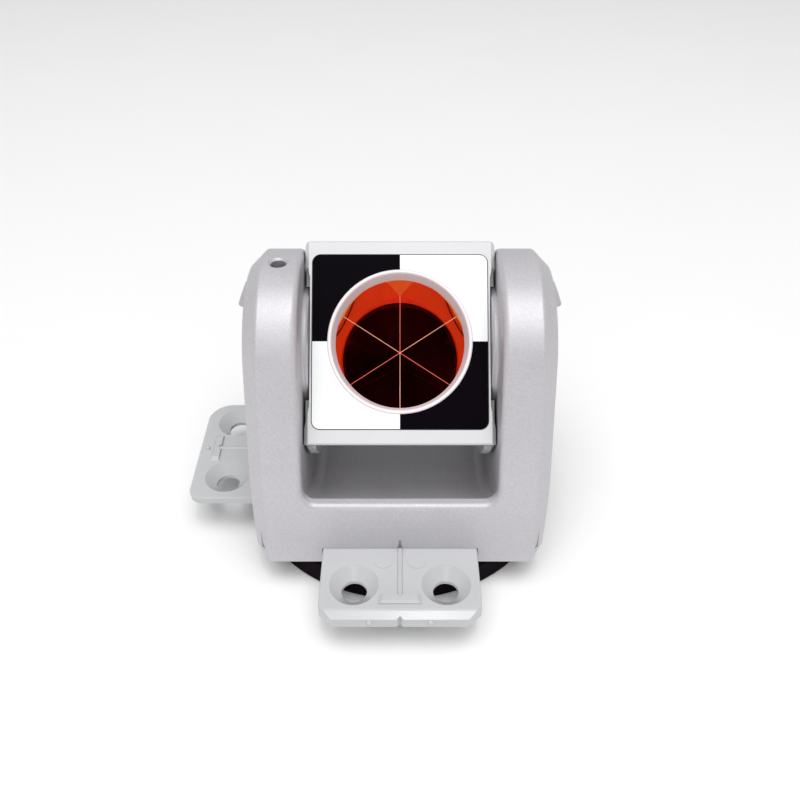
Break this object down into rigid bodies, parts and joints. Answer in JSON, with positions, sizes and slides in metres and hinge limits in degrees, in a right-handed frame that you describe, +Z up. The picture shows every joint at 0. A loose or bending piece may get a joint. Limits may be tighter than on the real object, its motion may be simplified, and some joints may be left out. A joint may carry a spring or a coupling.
{
  "type": "survey prism",
  "caption": "Corner-cube survey prism with a black and white target plate, tilting in a U-shaped yoke that turns on a round base and has screw-down feet.",
  "frame": {"origin": "centre of the base disc's underside, on the axis the yoke turns about", "axes": "+Z up along the pan axis; the front, with the target and one foot, faces -Y; the tilt axis is parallel to X; the second foot points to -X"},
  "size_m": [0.1115, 0.1123, 0.0841],
  "materials": {
    "housing_paint": "silver grey metallic paint, semi-gloss, with fine sparkle",
    "foot_plastic": "light silver grey, smooth and glossy",
    "cage_paint": "pale grey, satin",
    "plate_white": "white, satin",
    "field_black": "black, satin",
    "ring_white": "white, smooth",
    "optical_glass": "polished optical glass",
    "copper_coat": "vacuum-deposited copper behind the glass",
    "jacket_rubber": "black, matt",
    "seal_rubber": "black, soft",
    "cup_steel": "zinc plated",
    "screw_steel": "stainless, turned",
    "magnet_ferrite": "dark grey, ground",
    "bearing_brass": "turned",
    "washer_plastic": "natural white, slippery",
    "retainer_black": "black anodised",
    "cap_plastic": "silver grey, moulded"
  },
  "bodies": {
    "base": {"base_jacket": "jacket_rubber", "magnet_cup": "cup_steel", "ring_magnet": "magnet_ferrite", "pan_friction_washer": "washer_plastic"},
    "yoke": {"yoke_housing": "housing_paint", "pan_hub": "bearing_brass", "pan_hub_screws": "screw_steel", "pan_spring_washer": "screw_steel", "pan_retainer": "screw_steel", "pan_screw": "screw_steel", "front_foot": "foot_plastic", "side_foot": "foot_plastic", "foot_screws": "screw_steel", "bush_left": "bearing_brass", "bush_right": "bearing_brass", "plug_left": "cap_plastic", "plug_right": "cap_plastic"},
    "tilt_lock": {"tilt_lock_screw": "screw_steel"},
    "cage": {"cage_frame": "cage_paint", "target_plate": "plate_white", "target_fields": "field_black", "sight_ring": "ring_white", "front_gasket": "seal_rubber", "prism_glass": "optical_glass", "prism_coating": "copper_coat", "prism_cushion": "seal_rubber", "prism_retainer": "retainer_black", "back_cover": "cage_paint", "back_cover_screws": "screw_steel", "axle_left": "screw_steel", "axle_right": "screw_steel", "tilt_washers": "screw_steel"}
  },
  "joints": [
    {"name": "pan", "type": "hinge", "parent": "base", "child": "yoke", "pos_m": [0, 0, 0], "axis": [0, 0, 1], "continuous": true},
    {"name": "tilt", "type": "hinge", "parent": "yoke", "child": "cage", "pos_m": [0, 0, 0.0553], "axis": [1, 0, 0], "range_deg": [-46, 134]},
    {"name": "tilt_lock_turn", "type": "hinge", "parent": "yoke", "child": "tilt_lock", "pos_m": [-0.0326, 0, 0.0553], "axis": [0, 0, 1], "range_deg": [0, 360]}
  ]
}
